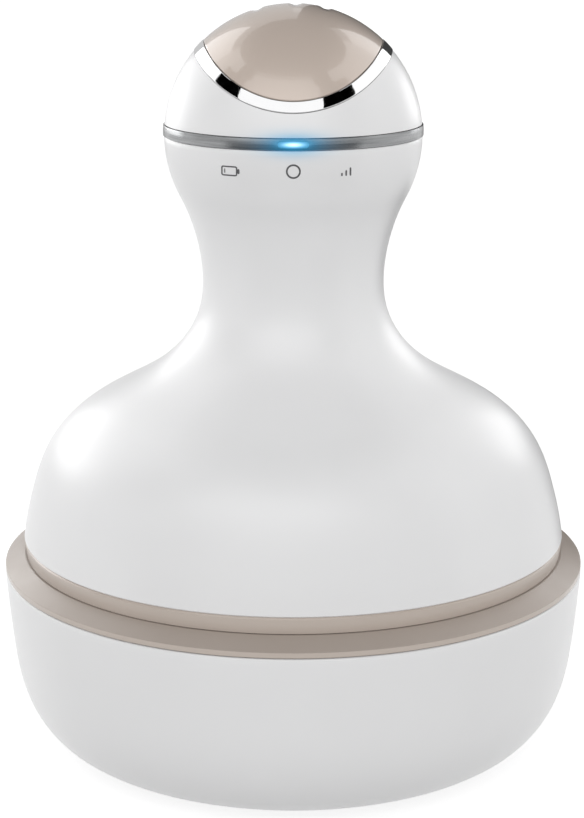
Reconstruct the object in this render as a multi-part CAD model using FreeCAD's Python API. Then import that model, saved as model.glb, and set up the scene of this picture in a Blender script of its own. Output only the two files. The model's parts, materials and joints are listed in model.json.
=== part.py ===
import FreeCAD, Part
import math
import os

# Cordless scalp massager standing in its cup. Millimetres, +Z up, origin at the centre of the
# cup's foot. The front, with the lamp and the marks, faces -Y. The charging port faces +Y.

V = FreeCAD.Vector
X_AXIS = V(1, 0, 0)
Y_AXIS = V(0, 1, 0)
Z_AXIS = V(0, 0, 1)

# ---- driving dimensions ---------------------------------------------------------------------
rim_r = 55.0            # widest radius, at the cup's rim
height = 139.5          # foot to the top of the button
ball_r = 23.7           # ball at the top of the grip
neck_r = 16.9           # narrowest part of the grip
wall = 2.2              # moulded walls of the cup and the body
gap = 0.3               # clearance between the handset and the cup

# ---- cup ------------------------------------------------------------------------------------
foot_lift = 0.4         # the rubber feet stand this far out of the bowl
foot_sink = 0.8         # and are let into it this deep
foot_r = 37.5
floor_join_z = 1.5      # step where the floor disc sits in the wall
floor_step = 1.0
weld_gap = 0.05
foot_ring_r = 30.0
foot_pad_r = 4.5
bowl_top_z = 34.5
rim_face_z = 35.65      # top of the rim ring's upright face
seam_z = 37.4           # top of the rim ring, where the handset's band begins
ledge_z = 33.9          # ledge inside the rim ring that carries the handset
rim_bore_r = 50.6

# ---- handset shell --------------------------------------------------------------------------
band_bottom_z = seam_z + gap
band_top_z = 40.5
band_r = 51.3
ball_z = height - ball_r
strip_z = (ball_z, ball_z + 2.25)
strip_r = ball_r + 0.2
frame_r = 20.7          # inner frame that joins the two halves of the ball

# ---- button: a saddle cut out of the ball by a circle seen from the front --------------------
cap_cut_r = 20.2
cap_cut_z = ball_z + 28.6
trim_cut_r = 22.6
trim_cut_z = ball_z + 29.0
cap_wall = 1.6
cap_lip = 0.7           # height of the button's upright edge
cap_gap = 0.15          # gap all round the button
cap_travel = 0.6
plunger_r = 3.0
switch_top_z = 120.4
plunger_z = (switch_top_z + cap_travel + 0.2, 137.0)
boot_top_z = 136.0      # the rubber boot reaches the flange under the button

# ---- base and gear case ---------------------------------------------------------------------
plate_z = (35.0, 37.2)
plate_r = 47.0
case_floor_z = (38.0, 39.6)
case_top_z = (52.4, 54.2)
case_bore_r = 39.6
case_r = 41.2
lug_ring_r = 39.8
lug_r = 2.6
boss_ring_r = 36.0
boss_r = 3.0
plate_screw_ring_r = 44.7

# ---- gear train -----------------------------------------------------------------------------
head_module = 1.0
centre_teeth = 20
head_teeth = 28
fine_module = 0.5
pinion_teeth = 12
wheel_teeth = 48
head_ring_r = head_module * (centre_teeth + head_teeth) / 2.0
idler_y = fine_module * (pinion_teeth + wheel_teeth) / 2.0
head_gear_z = (40.4, 44.4)
centre_wheel_z = (45.0, 47.4)
idler_pinion_z = (44.6, 48.4)
idler_wheel_z = (48.4, 50.8)
motor_pinion_z = (48.0, 51.6)
pin_r = 1.5
idler_pin_r = 1.0
shaft_r = 2.0
running = 0.05          # radial clearance of a turning fit
head_count = 4

# ---- massage heads --------------------------------------------------------------------------
hub_z = (25.6, 34.2)
hub_r = 13.4
pad_r = 15.8
pad_z = (22.5, 33.2)
finger_tip_z = 7.5
finger_ring_r = 10.6
finger_count = 6
finger_root_r = 3.3
finger_tip_r = 2.0

# ---- motor, battery and electronics ---------------------------------------------------------
motor_r = 12.2
motor_z = (54.2, 72.2)
motor_cap_z = (72.2, 73.8)
motor_shaft_r = 1.0
cell_r = 9.2
cell_z = (77.0, 112.0)
frame_floor_z = (112.6, 114.2)
board_z = (114.8, 116.0)
guide_z = (124.0, 126.0)
guide_r = 17.2
port_z = 106.5
port_board_y = (11.7, 12.9)
hinge_y = 19.55
hinge_z = 103.6

os.makedirs("parts", exist_ok=True)


# ---- helpers --------------------------------------------------------------------------------
def save(name, *solids):
    """Write one node; several solids go in as a group of separate solids."""
    shape = solids[0] if len(solids) == 1 else Part.makeCompound(list(solids))
    shape.exportStep("parts/" + name + ".step")


def disc(r, z, x=0.0, y=0.0):
    """Upright cylinder between the two heights in z."""
    return Part.makeCylinder(r, z[1] - z[0], V(x, y, z[0]))


def ring(r_out, r_in, z, x=0.0, y=0.0):
    bore = (z[0] - 1.0, z[1] + 1.0)
    return disc(r_out, z, x, y).cut(disc(r_in, bore, x, y))


def block(x, y, z):
    """Box from pairs of limits."""
    return Part.makeBox(x[1] - x[0], y[1] - y[0], z[1] - z[0], V(x[0], y[0], z[0]))


def pierced(solid, places, r, z):
    """Solid with an upright hole at each place."""
    for x, y in places:
        solid = solid.cut(disc(r, z, x, y))
    return solid


def polar(r, degrees):
    a = math.radians(degrees)
    return r * math.cos(a), r * math.sin(a)


def revolve(edges):
    """Solid of revolution about Z from a closed chain of edges in the XZ plane."""
    face = Part.Face(Part.Wire(Part.__sortEdges__(edges)))
    return face.revolve(V(0, 0, 0), Z_AXIS, 360)


def chain(points):
    """Straight edges through (r, z) points."""
    corners = [V(r, 0, z) for r, z in points]
    return [Part.makeLine(a, b) for a, b in zip(corners, corners[1:])]


def turned(points):
    """Solid of revolution from a polygon of (r, z) points."""
    return revolve(chain(points + points[:1]))


def spline(points, start=None, end=None):
    """Smooth curve through (r, z) points, with end directions where they are given."""
    curve = Part.BSplineCurve()
    places = [V(r, 0, z) for r, z in points]
    if start is None:
        curve.interpolate(Points=places)
    else:
        ends = {"InitialTangent": V(start[0], 0, start[1]), "FinalTangent": V(end[0], 0, end[1])}
        curve.interpolate(Points=places, **ends)
    return curve


def inset(curve, depth, steps=20):
    """Curve at a constant depth inside a profile that runs upwards."""
    points = []
    for i in range(steps + 1):
        t = curve.FirstParameter + (curve.LastParameter - curve.FirstParameter) * i / steps
        place = curve.value(t)
        along = curve.tangent(t)[0]
        points.append((place.x - along.z * depth, place.z + along.x * depth))
    return points


def largest(shape):
    """The main solid of a shape, without loose crumbs."""
    return max(shape.Solids, key=lambda solid: solid.Volume)


def screw(x, y, z_head, z_tip, head_r=1.8, head_h=1.4, shank_r=0.95, up=1):
    """Pan-head screw with a cross slot; up is 1 for a screw that points upwards."""
    head = (min(z_head, z_head + up * head_h), max(z_head, z_head + up * head_h))
    body = (min(z_head, z_tip), max(z_head, z_tip))
    solid = disc(head_r, head, x, y).fuse(disc(shank_r, body, x, y))
    slot = (z_head - 0.6, z_head + 0.6)
    arm, half = 1.1, 0.25
    solid = solid.cut(block((x - arm, x + arm), (y - half, y + half), slot))
    return solid.cut(block((x - half, x + half), (y - arm, y + arm), slot))


# ---- body outline ---------------------------------------------------------------------------
# Dome, waist and the start of the ball. Above the last point the ball's own circle takes over.
join_z = ball_z - 11.0
join_r = math.sqrt(ball_r ** 2 - (join_z - ball_z) ** 2)
dome_points = [
    (band_r, band_top_z), (49.6, 49.0), (46.1, 58.0), (39.15, 65.0), (28.45, 71.0),
    (21.1, 77.0), (17.45, 84.0), (neck_r, 89.5), (17.75, 96.0), (join_r, join_z),
]
dome_start = (-0.1, 1.0)
dome_end = (ball_z - join_z, join_r)
dome_curve = spline(dome_points, dome_start, dome_end)


def body_solid(depth):
    """The closed form of the dome, waist and whole ball, at a depth below the surface."""
    r = ball_r - depth
    points = inset(dome_curve, depth)
    side = spline(points)
    low_r, low_z = points[0]
    top_r, top_z = points[-1]
    centre = V(0, 0, ball_z)
    angle = math.atan2(top_z - ball_z, top_r)
    middle = (angle + math.pi / 2.0) / 2.0
    via = centre + V(r * math.cos(middle), 0, r * math.sin(middle))
    arc = Part.Arc(V(top_r, 0, top_z), via, centre + V(0, 0, r)).toShape()
    ends = [Part.makeLine(V(0, 0, low_z), V(low_r, 0, low_z)),
            Part.makeLine(V(0, 0, ball_z + r), V(0, 0, low_z))]
    return revolve([side.toShape(), arc] + ends)


# ---- cup ------------------------------------------------------------------------------------
def foot_places():
    return [polar(foot_ring_r, 90 * k) for k in range(4)]


cup_floor_z = foot_lift + wall


def cup_bowl():
    """Wall of the cup, stepped at its foot to take the floor disc."""
    outside = [(foot_r, foot_lift), (46.4, 3.2), (51.3, 9.6), (54.0, 22.0), (rim_r, bowl_top_z)]
    inner = [(foot_r - floor_step, cup_floor_z), (44.8, 5.0), (49.2, 10.4), (51.8, 22.0),
             (rim_r - wall, bowl_top_z)]
    outer_edge = spline(outside, (1.0, 0.0), (0.05, 1.0)).toShape()
    inner_edge = spline(inner, (1.0, 0.0), (0.05, 1.0)).toShape()
    step = [inner[0], (foot_r - floor_step, floor_join_z), (foot_r, floor_join_z), outside[0]]
    return revolve([outer_edge, inner_edge] + chain([outside[-1], inner[-1]]) + chain(step))


def cup_floor():
    """Floor disc, welded into the wall, with a recess for each foot."""
    floor = disc(foot_r - weld_gap, (foot_lift, floor_join_z))
    floor = floor.fuse(disc(foot_r - floor_step - weld_gap, (floor_join_z, cup_floor_z)))
    return pierced(floor, foot_places(), foot_pad_r + 0.1, (0.0, foot_lift + foot_sink))


def rim_ring():
    lip_r = band_r
    spigot_r = rim_r - wall - 0.2
    return turned([(rim_r, bowl_top_z), (rim_r, rim_face_z), (lip_r, seam_z), (rim_bore_r, seam_z),
                   (rim_bore_r, ledge_z), (48.4, ledge_z), (48.4, 32.4), (spigot_r, 32.4),
                   (spigot_r, bowl_top_z)])


save("cup_bowl", cup_bowl())
save("cup_floor", cup_floor())
save("cup_rim_ring", rim_ring())
foot_z = (0.0, foot_lift + foot_sink)
save("cup_feet", *[disc(foot_pad_r, foot_z, x, y) for x, y in foot_places()])


# ---- body shell with its screw bosses and the recess of the charging port ---------------------
def stadium(half_x, half_z, y, centre_z):
    """Rounded slot along Y, centred on x = 0."""
    r = half_z
    flat = half_x - r
    middle = block((-flat, flat), y, (centre_z - r, centre_z + r))
    for side in (-flat, flat):
        end = Part.makeCylinder(r, y[1] - y[0], V(side, y[0], centre_z), Y_AXIS)
        middle = middle.fuse(end)
    return middle.removeSplitter()


outer_body = body_solid(0.0)
inner_body = body_solid(wall)
above_strip = block((-60, 60), (-60, 60), (strip_z[1], height + 5.0))
below_strip = block((-60, 60), (-60, 60), (0.0, strip_z[0]))

flap_half_x = 6.0
flap_top_z = 109.6
barrel_r = 0.9
flap_thick = 1.3


def flap_outline(extra):
    """Prism along Y that bounds the port cover, rounded at its top corners."""
    corner = 2.0 + extra
    half = flap_half_x + extra
    top = flap_top_z + extra
    slab = block((-half, half), (8.0, 30.0), (hinge_z, top))
    upright = [e for e in slab.Edges
               if abs(e.tangentAt(e.FirstParameter).y) > 0.99 and e.BoundBox.ZMin > hinge_z + 1.0]
    return slab.makeFillet(corner, upright)


def shell_bosses():
    posts = None
    for k in range(4):
        x, y = polar(boss_ring_r, 45 + 90 * k)
        post = disc(boss_r, (case_top_z[1], 70.0), x, y)
        posts = post if posts is None else posts.fuse(post)
    return posts


def body_shell():
    shell = outer_body.common(below_strip).cut(inner_body)
    shell = shell.fuse(shell_bosses().common(body_solid(wall / 2.0)))
    for k in range(4):
        x, y = polar(boss_ring_r, 45 + 90 * k)
        shell = shell.cut(disc(0.97, (case_top_z[1] - 1.0, 62.6), x, y))
    recess = flap_outline(0.15).cut(body_solid(flap_thick + 0.15))
    shell = shell.cut(recess)
    groove_z = (hinge_z - 1.5, hinge_z + 1.05)
    half = flap_half_x + 0.15
    shell = shell.cut(block((-half, half), (hinge_y - 1.05, 30.0), groove_z))
    shell = shell.cut(stadium(4.75, 1.9, (14.0, 30.0), port_z))
    edge = [e for e in shell.Edges
            if abs(e.BoundBox.ZMin - band_top_z) < 0.01 and abs(e.BoundBox.XMax - band_r) < 0.01]
    return largest(shell.makeFillet(0.3, edge[:1]))


def port_cover():
    panel = outer_body.cut(body_solid(flap_thick)).common(flap_outline(0.0))
    panel = panel.cut(block((-20, 20), (0.0, hinge_y - 0.2), (hinge_z - 2.0, hinge_z + 2.0)))
    barrel = Part.makeCylinder(barrel_r, 2 * flap_half_x, V(-flap_half_x, hinge_y, hinge_z), X_AXIS)
    stem = stadium(3.9, 1.0, (19.2, 21.0), port_z).common(outer_body)
    return largest(panel.fuse([barrel, stem]).removeSplitter())


save("body_shell", body_shell())
save("port_cover", port_cover())


# ---- band under the dome, sealing ring, base plate and its screws -----------------------------
def base_band():
    ledge_r = 42.9
    bore_r = plate_r + 0.2
    return turned([(rim_bore_r - 0.4, 34.2), (rim_bore_r - 0.4, band_bottom_z),
                   (band_r - 0.35, band_bottom_z), (band_r - 0.05, band_top_z - 0.25),
                   (band_r - 0.3, band_top_z), (48.5, band_top_z), (48.5, 43.4), (47.0, 43.4),
                   (47.0, 41.2), (ledge_r, 41.2), (ledge_r, 37.9), (bore_r, 37.9), (bore_r, 34.2)])


def plate_screw_places():
    return [polar(plate_screw_ring_r, 30 + 60 * k) for k in range(6)]


def head_places():
    return [polar(head_ring_r, 45 + 90 * k) for k in range(head_count)]


band = pierced(base_band(), plate_screw_places(), 0.97, (37.0, 40.6))
save("base_band", band)
gasket = ring(plate_r - 0.2, 43.0, (plate_z[1], 37.9))
save("base_gasket", pierced(gasket, plate_screw_places(), 1.1, (36.0, 39.0)))

plate = disc(plate_r, plate_z)
plate = pierced(plate, head_places(), 5.5, (34.0, 38.0))
plate = pierced(plate, plate_screw_places(), 1.1, (34.0, 38.0))
plate = pierced(plate, plate_screw_places(), 2.0, (34.0, plate_z[0] + 1.4))
save("base_plate", plate)
save("base_screws", *[screw(x, y, plate_z[0], 40.4) for x, y in plate_screw_places()])
seal_z = (plate_z[0], plate_z[1])
save("shaft_seals", *[ring(5.5, shaft_r + running, seal_z, x, y) for x, y in head_places()])


# ---- gear case ------------------------------------------------------------------------------
def lug_places():
    return [polar(lug_ring_r, 90 * k) for k in range(4)]


def case_cover():
    """Upper half of the gear case: top plate, side wall, screw lugs and shaft posts."""
    case = ring(case_r, case_bore_r, (case_floor_z[1], case_top_z[1])).fuse(disc(case_r, case_top_z))
    for x, y in lug_places():
        case = case.fuse(disc(lug_r, (case_floor_z[1], case_top_z[1]), x, y))
    for x, y in head_places():
        case = case.fuse(disc(4.0, (45.4, case_top_z[1]), x, y))
        case = case.cut(disc(3.0, (44.0, 52.0), x, y))
    case = pierced(case, lug_places(), 0.97, (39.0, 47.2))
    boss_places = [polar(boss_ring_r, 45 + 90 * k) for k in range(4)]
    case = pierced(case, boss_places, 1.1, (50.0, 56.0))
    case = pierced(case, [(7.5, 0.0), (-7.5, 0.0)], 1.1, (50.0, 56.0))
    case = case.cut(disc(4.5, (50.0, 56.0)))
    return case.cut(disc(idler_pin_r, (50.0, 53.6), 0.0, idler_y))


def case_floor():
    floor = disc(case_r, case_floor_z)
    for x, y in lug_places():
        floor = floor.fuse(disc(lug_r, case_floor_z, x, y))
    floor = pierced(floor, lug_places(), 1.1, (37.0, 40.0))
    floor = pierced(floor, head_places(), 3.5, (37.0, 40.0))
    floor = floor.fuse(disc(3.0, (case_floor_z[0], 40.1))).cut(disc(pin_r, (38.6, 41.0)))
    return floor.cut(disc(idler_pin_r, (38.6, 41.0), 0.0, idler_y))


save("gear_case_cover", case_cover())
save("gear_case_floor", case_floor())
case_screw_z = case_floor_z[0] - 0.75
save("gear_case_screws", *[screw(x, y, case_screw_z, 47.0, 1.7, 0.75) for x, y in lug_places()])
mount_places = [polar(boss_ring_r, 45 + 90 * k) for k in range(4)]
save("body_screws", *[screw(x, y, 51.0, 62.4) for x, y in mount_places])
lower_bushes = [ring(3.5, shaft_r + running, (37.6, 40.2), x, y) for x, y in head_places()]
upper_bushes = [ring(3.0, shaft_r + running, (44.8, 51.9), x, y) for x, y in head_places()]
save("shaft_bushes", *(lower_bushes + upper_bushes))
save("centre_pin", disc(pin_r, (38.6, 47.3)))
save("idler_pin", disc(idler_pin_r, (38.6, 53.6), 0.0, idler_y))


# ---- gears ----------------------------------------------------------------------------------
def involute(base_r, r):
    """Angle of the involute of a base circle at radius r."""
    tan_a = math.sqrt(max((r / base_r) ** 2 - 1.0, 0.0))
    return tan_a - math.atan(tan_a)


def gear(module, teeth, z, bore, x=0.0, y=0.0, turn=0.0, backlash=0.12):
    """Spur gear with stub involute teeth; a tooth points along +X when turn is 0 degrees."""
    pitch_r = module * teeth / 2.0
    base_r = pitch_r * math.cos(math.radians(20.0))
    tip_r = pitch_r + 0.75 * module
    root_r = pitch_r - 1.0 * module
    half_pitch = (math.pi * module / 2.0 - backlash / 2.0) / (2.0 * pitch_r)
    flank = []
    start_r = max(base_r, root_r)
    for i in range(4):
        r = start_r + (tip_r - start_r) * i / 3.0
        flank.append((r, half_pitch + involute(base_r, pitch_r) - involute(base_r, r)))
    if root_r < base_r:
        flank.insert(0, (root_r, flank[0][1]))
    corners = []
    for k in range(teeth):
        middle = math.radians(turn) + 2.0 * math.pi * k / teeth
        for r, a in flank:
            corners.append(V(x + r * math.cos(middle - a), y + r * math.sin(middle - a), z[0]))
        for r, a in reversed(flank):
            corners.append(V(x + r * math.cos(middle + a), y + r * math.sin(middle + a), z[0]))
    face = Part.Face(Part.makePolygon(corners + corners[:1]))
    blank = face.extrude(V(0, 0, z[1] - z[0]))
    return blank.cut(disc(bore, (z[0] - 1.0, z[1] + 1.0), x, y))


half_tooth_12 = 180.0 / pinion_teeth
half_tooth_48 = 180.0 / wheel_teeth
centre = gear(head_module, centre_teeth, (head_gear_z[0], centre_wheel_z[0]), pin_r + running,
              backlash=0.2)
wheel = gear(fine_module, wheel_teeth, centre_wheel_z, pin_r + running)
save("centre_gear", centre.fuse(wheel).removeSplitter())

idler_bore = idler_pin_r + running
idler_pinion = gear(fine_module, pinion_teeth, idler_pinion_z, idler_bore, 0.0, idler_y, half_tooth_12)
idler_wheel = gear(fine_module, wheel_teeth, idler_wheel_z, idler_bore, 0.0, idler_y, half_tooth_48)
save("idler_gear", idler_pinion.fuse(idler_wheel))
save("motor_pinion", gear(fine_module, pinion_teeth, motor_pinion_z, motor_shaft_r))


# ---- massage heads: gear, shaft, hub and soft pad ---------------------------------------------
def finger(x, y, tip_z, root_r, tip_r):
    """Tapered finger that hangs down and ends in a ball."""
    top_z = pad_z[0] + 1.0
    cone = Part.makeCone(tip_r, root_r, top_z - (tip_z + tip_r), V(x, y, tip_z + tip_r))
    return cone.fuse(Part.makeSphere(tip_r, V(x, y, tip_z + tip_r)))


def head_hub(x, y):
    dish = disc(hub_r, (hub_z[0], 32.8), x, y).cut(ring(hub_r - 1.6, 4.6, (27.4, 33.5), x, y))
    dish = dish.fuse(disc(4.6, (hub_z[0], hub_z[1]), x, y))
    return dish.cut(disc(shaft_r, (27.0, 36.0), x, y))


def head_pad(x, y):
    low, high = pad_z
    cup = disc(pad_r, (low, high), x, y)
    rim = [e for e in cup.Edges if abs(e.BoundBox.ZMax - low) < 0.01]
    cup = cup.makeFillet(2.6, rim)
    cup = cup.cut(disc(hub_r + 0.1, (hub_z[0], high + 1.0), x, y))
    cup = cup.fuse(finger(x, y, finger_tip_z + 1.5, finger_root_r, finger_tip_r))
    for k in range(finger_count):
        dx, dy = polar(finger_ring_r, 60.0 * k)
        cup = cup.fuse(finger(x + dx, y + dy, finger_tip_z, finger_root_r, finger_tip_r))
    return cup.removeSplitter()


for number, (x, y) in enumerate(head_places(), start=1):
    toward_centre = 180.0 + 45.0
    save("head_gear_%d" % number,
         gear(head_module, head_teeth, head_gear_z, shaft_r, x, y, toward_centre, 0.2))
    save("head_shaft_%d" % number, disc(shaft_r, (27.0, 51.5), x, y))
    save("head_hub_%d" % number, head_hub(x, y))
    save("head_pad_%d" % number, head_pad(x, y))


# ---- motor ----------------------------------------------------------------------------------
can = disc(motor_r, motor_z).cut(disc(motor_r - 0.8, (motor_z[0] + 1.0, motor_z[1] + 1.0)))
can = can.fuse(disc(4.4, (52.6, motor_z[0]))).cut(disc(motor_shaft_r + running, (50.0, 57.0)))
can = pierced(can, [(7.5, 0.0), (-7.5, 0.0)], 0.97, (53.0, 56.0))
save("motor_can", can)
motor_cap = disc(motor_r, motor_cap_z).cut(disc(motor_shaft_r + running, (71.0, 73.2)))
for side in (-1, 1):
    tab = block((side * 8.0 - 1.0, side * 8.0 + 1.0), (-0.25, 0.25), (motor_cap_z[1], 75.4))
    motor_cap = motor_cap.fuse(tab)
save("motor_end_cap", motor_cap)
magnet_ring = ring(motor_r - 0.85, 9.9, (56.5, 70.0))
magnets = magnet_ring.cut(block((-4.5, 4.5), (-20, 20), (50, 80)))
save("motor_magnets", *magnets.Solids)
save("motor_screws", *[screw(x, 0.0, 51.0, 55.1, up=1) for x in (7.5, -7.5)])
save("motor_shaft", disc(motor_shaft_r, (48.0, 73.0)))
core = ring(9.2, motor_shaft_r, (57.5, 69.0))
for k in range(3):
    x, y = polar(9.0, 30 + 120 * k)
    core = core.cut(disc(2.2, (57.0, 70.0), x, y))
save("motor_armature", core)


# ---- battery, its holder and the charging port ------------------------------------------------
cell = disc(cell_r, cell_z)
ends = [e for e in cell.Edges if e.Closed and len(e.Vertexes) == 1]
save("battery_cell", cell.makeFillet(0.8, ends))
holder = ring(10.6, cell_r + 0.1, (76.6, frame_floor_z[0])).fuse(disc(10.6, (75.9, 76.9)))
for k in range(4):
    rib = block((10.2, 14.2), (-0.7, 0.7), (82.0, 96.0))
    rib.rotate(V(0, 0, 0), Z_AXIS, 45 + 90 * k)
    holder = holder.fuse(rib)
holder = holder.cut(block((-4.5, 4.5), (-20.0, 0.0), (80.0, 108.0)))
save("battery_holder", holder)
save("charge_board", block((-7.0, 7.0), port_board_y, (99.5, 111.4)))
socket = stadium(4.5, 1.65, (port_board_y[1], 19.0), port_z)
socket = socket.cut(stadium(4.2, 1.35, (14.2, 20.0), port_z))
socket = socket.fuse(block((-3.3, 3.3), (14.0, 18.4), (port_z - 0.35, port_z + 0.35)))
save("charge_socket", socket)


# ---- inner frame, control board, switch and lamp ----------------------------------------------
standoffs = [polar(13.5, 90 + 120 * k) for k in range(3)]
lamp_slot = block((-2.75, 2.75), (-30.0, -15.0), (strip_z[0] + 0.45, strip_z[1] - 0.45))
inner_frame = ring(frame_r - 0.05, 19.2, (frame_floor_z[0], 121.4))
inner_frame = inner_frame.fuse(disc(frame_r - 0.05, frame_floor_z))
for x, y in standoffs:
    inner_frame = inner_frame.fuse(disc(2.2, (frame_floor_z[0], board_z[0]), x, y))
inner_frame = pierced(inner_frame, standoffs, 0.97, (112.0, 116.0))
save("inner_frame", inner_frame.cut(lamp_slot))
board = pierced(disc(18.6, board_z), standoffs, 1.1, (114.0, 117.0))
save("control_board", board)
save("board_screws", *[screw(x, y, 117.4, 113.4, up=-1) for x, y in standoffs])
switch = block((-3.0, 3.0), (-3.0, 3.0), (board_z[1], 119.4)).fuse(disc(1.7, (119.4, switch_top_z)))
save("push_switch", switch)
save("lamp_chip", block((-1.8, 1.8), (-15.7, -13.9), (board_z[1], 117.8)))

strip_ring = ring(strip_r, frame_r, strip_z)
outer_edges = [e for e in strip_ring.Edges if e.Closed and abs(e.BoundBox.XMax - strip_r) < 0.01
               and abs(e.BoundBox.ZLength) < 0.01]
strip_ring = strip_ring.makeFillet(0.2, outer_edges)
save("light_strip", strip_ring.cut(lamp_slot))
window = block((-2.7, 2.7), (-strip_r, -16.9), (strip_z[0] + 0.5, strip_z[1] - 0.5))
save("light_window", window.common(disc(strip_r - 0.05, strip_z)))


# ---- upper half of the ball, trim, button ------------------------------------------------------
def saddle(r, z):
    """Solid above a circular arc seen from the front, running front to back."""
    return Part.makeCylinder(r, 80.0, V(0, -40.0, z), Y_AXIS)


def cap_outline(offset, z):
    """Upright prism whose plan is where the cap's arc meets the ball, grown by an offset."""
    centre_drop = cap_cut_z - ball_z
    k = ball_r ** 2 - centre_drop ** 2 - cap_cut_r ** 2
    y_max = math.sqrt(k + 2.0 * centre_drop * cap_cut_r)
    steps = 32
    plan = []
    for i in range(steps):
        t = 2.0 * math.pi * i / steps
        y = y_max * math.sin(t)
        across = cap_cut_r ** 2 - ((y * y - k) / (2.0 * centre_drop)) ** 2
        plan.append(V(math.copysign(math.sqrt(max(across, 0.0)), math.cos(t)), y, z[0]))
    grown = []
    for i, place in enumerate(plan):
        along = plan[(i + 1) % steps] - plan[i - 1]
        along.normalize()
        grown.append(place + V(along.y, -along.x, 0) * offset)
    curve = Part.BSplineCurve()
    curve.interpolate(Points=grown, PeriodicFlag=True)
    return Part.Face(Part.Wire(curve.toShape())).extrude(V(0, 0, z[1] - z[0]))


ball = Part.makeSphere(ball_r, V(0, 0, ball_z))
prism_z = (ball_z, height + 5.0)
top_shell = ball.cut(Part.makeSphere(ball_r - wall, V(0, 0, ball_z))).common(above_strip)
top_shell = top_shell.cut(saddle(trim_cut_r, trim_cut_z))
save("top_shell", largest(top_shell))

trim_solid = Part.makeSphere(ball_r + 0.15, V(0, 0, ball_z)).common(saddle(trim_cut_r, trim_cut_z))
rim_part = trim_solid.cut(cap_outline(0.0, prism_z))
flange = trim_solid.cut(saddle(trim_cut_r - 0.5, trim_cut_z)).cut(cap_outline(-1.5, prism_z))
rim_part = rim_part.cut(Part.makeSphere(ball_r - 2.6, V(0, 0, ball_z)))
flange = flange.cut(Part.makeSphere(ball_r - 3.4, V(0, 0, ball_z)))
save("chrome_trim", largest(rim_part.fuse(flange)))

cap = ball.cut(Part.makeSphere(ball_r - cap_wall, V(0, 0, ball_z)))
cap = cap.common(saddle(cap_cut_r, cap_cut_z - cap_lip)).common(cap_outline(-cap_gap, prism_z))
save("button_cap", largest(cap))
plunger = disc(plunger_r, plunger_z).fuse(disc(8.0, (boot_top_z, plunger_z[1])))
bowl_under_cap = Part.makeSphere(ball_r - cap_wall, V(0, 0, ball_z))
save("button_plunger", plunger.common(bowl_under_cap))


def rubber_boot(low, high, folds=3, thick=0.6):
    """Bellows of rubber that lifts the button and keeps water off the switch."""
    flange, crest, root = 6.8, 6.3, 5.1
    foot_h = 0.8
    pitch = (high - low - 2.0 * foot_h) / folds
    outside = [(flange, low), (flange, low + foot_h)]
    for k in range(folds):
        z = low + foot_h + pitch * k
        outside += [(root, z + 0.1 * pitch), (crest, z + 0.5 * pitch)]
    outside += [(root, high - foot_h - 0.1 * pitch), (crest, high - foot_h), (crest, high)]
    inside = [(r - thick, z) for r, z in outside[2:-2]]
    return turned(outside + [(root - thick, high)] + inside[::-1] + [(root - thick, low)])


save("button_boot", rubber_boot(guide_z[1] + 0.02, boot_top_z - 0.02))

guide = disc(guide_r, guide_z).fuse(disc(4.2, (122.6, guide_z[1])))
guide = guide.cut(disc(plunger_r + 0.1, (120.0, 127.0)))
guide = pierced(guide, [polar(10.5, 60 * k) for k in range(6)], 3.4, (120.0, 127.0))
skirt = ring(guide_r, guide_r - 1.2, (board_z[1], guide_z[1])).cut(lamp_slot)
save("button_guide", guide.fuse(skirt))
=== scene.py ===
import json
import math

import bmesh
import bpy
import numpy as np
from mathutils import Matrix, Vector


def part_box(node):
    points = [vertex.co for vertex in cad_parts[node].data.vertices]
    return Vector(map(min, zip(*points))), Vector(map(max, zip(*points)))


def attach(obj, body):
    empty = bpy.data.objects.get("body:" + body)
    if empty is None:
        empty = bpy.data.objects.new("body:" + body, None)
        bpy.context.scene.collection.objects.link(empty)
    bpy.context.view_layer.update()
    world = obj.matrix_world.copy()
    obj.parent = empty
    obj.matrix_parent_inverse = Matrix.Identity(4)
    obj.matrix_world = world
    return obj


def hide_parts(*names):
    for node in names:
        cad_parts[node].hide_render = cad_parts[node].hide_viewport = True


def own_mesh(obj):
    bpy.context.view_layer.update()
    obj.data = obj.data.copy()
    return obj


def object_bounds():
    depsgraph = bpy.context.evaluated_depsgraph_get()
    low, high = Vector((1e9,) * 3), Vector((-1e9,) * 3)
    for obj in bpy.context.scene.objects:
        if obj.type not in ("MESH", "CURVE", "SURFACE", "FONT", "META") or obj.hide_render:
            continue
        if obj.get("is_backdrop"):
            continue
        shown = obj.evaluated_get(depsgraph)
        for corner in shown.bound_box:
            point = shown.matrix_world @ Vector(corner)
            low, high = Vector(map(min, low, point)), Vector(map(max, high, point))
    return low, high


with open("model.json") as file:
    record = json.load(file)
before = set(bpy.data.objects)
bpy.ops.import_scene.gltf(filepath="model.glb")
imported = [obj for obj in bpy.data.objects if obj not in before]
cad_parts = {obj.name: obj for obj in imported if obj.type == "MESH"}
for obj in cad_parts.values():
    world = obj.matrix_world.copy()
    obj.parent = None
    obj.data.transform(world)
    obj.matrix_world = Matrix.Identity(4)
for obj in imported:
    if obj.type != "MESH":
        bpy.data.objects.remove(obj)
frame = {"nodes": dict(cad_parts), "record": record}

cad_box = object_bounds()
MM = 0.001
TURNS = 192             # steps round a turned piece


# Outlines are in millimetres and become metres where a mesh is made. The front of the massager
# looks towards -Y. The cup, the case and the strip are round about Z.


# ---- sizes in metres, read from the frame apart from the ball's radius ---------------------------
def low_z(node):
    """Height of the lowest point of a frame node, in metres."""
    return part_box(node)[0].z


def high_z(node):
    """Height of the highest point of a frame node, in metres."""
    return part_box(node)[1].z


def record_joint(name):
    """The record's row for a joint."""
    return next(joint for joint in frame["record"]["behaviour"]["joints"] if joint["name"] == name)


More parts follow.
